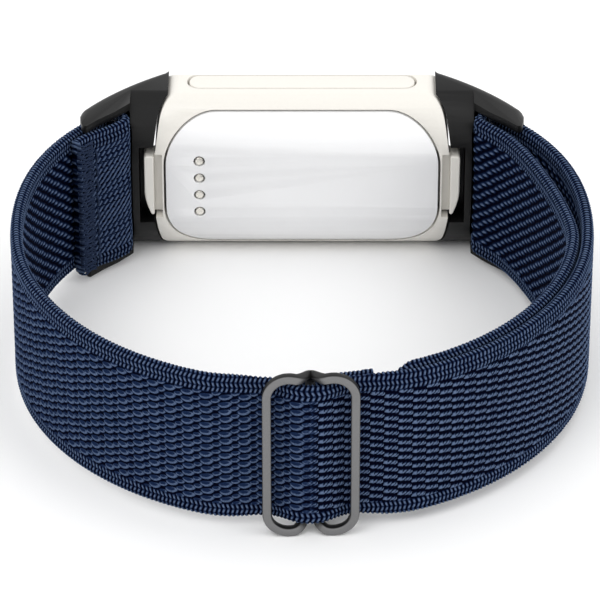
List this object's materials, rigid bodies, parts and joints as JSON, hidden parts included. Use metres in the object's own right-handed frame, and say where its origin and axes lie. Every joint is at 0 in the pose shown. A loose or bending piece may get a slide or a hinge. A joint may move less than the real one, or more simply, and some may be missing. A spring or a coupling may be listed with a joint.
{
  "type": "fitness tracker band",
  "caption": "Slim fitness tracker held by clip-on connectors on a woven elastic wristband that closes in a ring and is adjusted with a sliding metal buckle.",
  "frame": {"origin": "centre of the closed ring in plan, on the surface that the band stands on edge on", "axes": "+Z along the width of the band, +Y out of the display, the slider buckle at -Y, X along the length of the tracker"},
  "size_m": [0.0716, 0.0724, 0.0227],
  "materials": {
    "webbing": "woven navy nylon with a slight sheen",
    "thread": "navy polyester sewing thread",
    "buckle": "satin gunmetal coating",
    "steel": "bright drawn steel",
    "connector": "soft-touch matte black",
    "case": "satin cream",
    "back_window": "glossy pale grey",
    "cover_glass": "black glass, opaque when the display is off",
    "contact": "pale gold plating",
    "board": "green solder mask",
    "cell": "foil pouch",
    "gasket": "black foam"
  },
  "bodies": {
    "band": {"strap_left_run": "webbing", "strap_left_feed": "webbing", "strap_left_neck": "webbing", "strap_right_outer_run": "webbing", "strap_right_outer_feed": "webbing", "strap_right_outer_neck": "webbing", "strap_right_inner_run": "webbing", "strap_right_inner_feed": "webbing", "strap_right_inner_neck": "webbing"},
    "slider": {"slider_frame": "buckle", "strap_slider_crossing": "webbing", "strap_end_loop": "webbing", "end_loop_seam": "thread"},
    "tracker": {"case_shell": "case", "back_cover": "back_window", "charge_contact_1": "contact", "charge_contact_2": "contact", "charge_contact_3": "contact", "charge_contact_4": "contact", "side_panel_lower": "case", "side_panel_upper": "case", "display_glass": "cover_glass", "display_gasket": "gasket", "display_panel": "cover_glass", "main_board": "board", "battery": "cell", "vibration_motor": "steel", "sensor_board": "board", "latch_spring_left": "steel", "latch_spring_right": "steel"},
    "latch_left": {"latch_left": "case"},
    "latch_right": {"latch_right": "case"},
    "clip_left": {"connector_left": "connector", "strap_bar_left": "steel", "strap_left_fold": "webbing", "tail_seam": "thread"},
    "clip_right": {"connector_right": "connector", "strap_bar_right": "steel", "strap_right_fold": "webbing"}
  },
  "joints": [
    {"name": "slider_travel", "type": "hinge", "parent": "band", "child": "slider", "pos_m": [0, 0, 0], "axis": [0, 0, 1], "range_deg": [-10, 10], "deforming": ["strap_left_feed", "strap_right_outer_feed", "strap_right_inner_feed"]},
    {"name": "tracker_release", "type": "slide", "parent": "band", "child": "tracker", "axis": [0, -1, 0], "range_m": [0, 0.012]},
    {"name": "latch_left_press", "type": "slide", "parent": "tracker", "child": "latch_left", "axis": [1, 0, 0], "range_m": [0, 0.001], "stiffness_N_per_m": 800, "springref_m": -0.0004, "deforming": ["latch_spring_left"]},
    {"name": "latch_right_press", "type": "slide", "parent": "tracker", "child": "latch_right", "axis": [-1, 0, 0], "range_m": [0, 0.001], "stiffness_N_per_m": 800, "springref_m": -0.0004, "deforming": ["latch_spring_right"]},
    {"name": "clip_left_swing", "type": "hinge", "parent": "band", "child": "clip_left", "pos_m": [-0.0316, 0.0181, 0.01135], "axis": [0, 0, 1], "range_deg": [0, 28], "stiffness_Nm_per_rad": 0.01, "deforming": ["strap_left_neck"]},
    {"name": "clip_right_swing", "type": "hinge", "parent": "band", "child": "clip_right", "pos_m": [0.0302, 0.017, 0.01135], "axis": [0, 0, -1], "range_deg": [0, 28], "stiffness_Nm_per_rad": 0.01, "deforming": ["strap_right_inner_neck", "strap_right_outer_neck"]}
  ]
}
